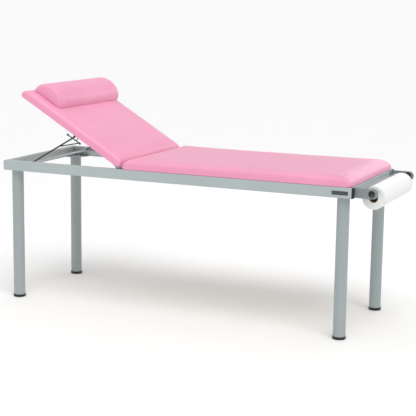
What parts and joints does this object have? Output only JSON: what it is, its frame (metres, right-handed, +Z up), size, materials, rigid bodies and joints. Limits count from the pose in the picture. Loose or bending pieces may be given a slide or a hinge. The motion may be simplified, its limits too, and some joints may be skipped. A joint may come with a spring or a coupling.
{
  "type": "examination couch",
  "caption": "Two-section upholstered examination couch on a welded tube frame with round legs, rod-stayed rising backrest, bolster pillow and paper-roll holder.",
  "frame": {"origin": "on the floor under the middle of the whole outline, paper-roll holder included", "axes": "+X along the couch from head end to foot end, +Z up, front side towards -Y"},
  "size_m": [2.025, 0.701, 1.133],
  "materials": {
    "leatherette": "satin leatherette",
    "board": "raw plywood",
    "hook_strip": "hook and loop",
    "black_plastic": "moulded",
    "frame_paint": "semi-gloss powder coat",
    "leg_paint": "semi-gloss powder coat",
    "arm_paint": "semi-gloss powder coat",
    "black_steel": "semi-gloss",
    "tissue": "embossed tissue",
    "core_card": "plain card",
    "plate": "gloss",
    "zinc": "zinc plated"
  },
  "bodies": {
    "frame": {"blank_plate": "plate", "corner_gussets": "frame_paint", "cross_member_hinge": "frame_paint", "cross_member_middle": "frame_paint", "foot_foot_front": "black_plastic", "foot_foot_rear": "black_plastic", "foot_head_front": "black_plastic", "foot_head_rear": "black_plastic", "foot_rail": "frame_paint", "head_rail": "frame_paint", "hinge_pin_front": "zinc", "hinge_pin_rear": "zinc", "leg_bolts": "zinc", "leg_foot_front": "leg_paint", "leg_foot_rear": "leg_paint", "leg_head_front": "leg_paint", "leg_head_rear": "leg_paint", "leg_top_discs": "zinc", "rack_screws": "zinc", "rail_cap_front": "black_plastic", "rail_cap_rear": "black_plastic", "roll_arm_front": "arm_paint", "roll_arm_rear": "arm_paint", "roll_arm_screws": "zinc", "roll_bush_front": "black_plastic", "roll_bush_rear": "black_plastic", "seat_board": "board", "seat_bolts": "zinc", "seat_cushion": "leatherette", "side_rail_front": "frame_paint", "side_rail_rear": "frame_paint", "stay_rack_front": "zinc", "stay_rack_rear": "zinc"},
    "backrest": {"backrest_cushion": "leatherette", "backrest_board": "board", "board_screws": "zinc", "hinge_leaf_front": "zinc", "hinge_leaf_rear": "zinc", "stay_bracket_front": "black_steel", "stay_bracket_rear": "black_steel", "lock_bar_front": "black_steel", "lock_bar_rear": "black_steel", "pillow": "leatherette", "pillow_strips": "hook_strip"},
    "stay": {"stay_arm_front": "black_steel", "stay_arm_rear": "black_steel", "stay_crossbar": "zinc"},
    "roll": {"paper_roll": "tissue", "cardboard_core": "core_card"},
    "rod": {"holder_rod": "black_steel"}
  },
  "joints": [
    {"name": "backrest_hinge", "type": "hinge", "parent": "frame", "child": "backrest", "pos_m": [-0.3345, 0, 0.722], "axis": [0, 1, 0], "range_deg": [-30.5, 19.5]},
    {"name": "stay_pivot", "type": "hinge", "parent": "backrest", "child": "stay", "pos_m": [-0.60591, 0, 0.88187], "axis": [0, 1, 0], "range_deg": [-39, 61]},
    {"name": "roll_spin", "type": "hinge", "parent": "frame", "child": "roll", "pos_m": [0.9575, 0, 0.6843], "axis": [0, 1, 0], "continuous": true},
    {"name": "rod_slide", "type": "slide", "parent": "frame", "child": "rod", "axis": [0, -1, 0], "range_m": [0, 0.6]}
  ],
  "couplings": [
    {"joint": "stay_pivot", "follows": "backrest_hinge", "ratio": -2}
  ]
}
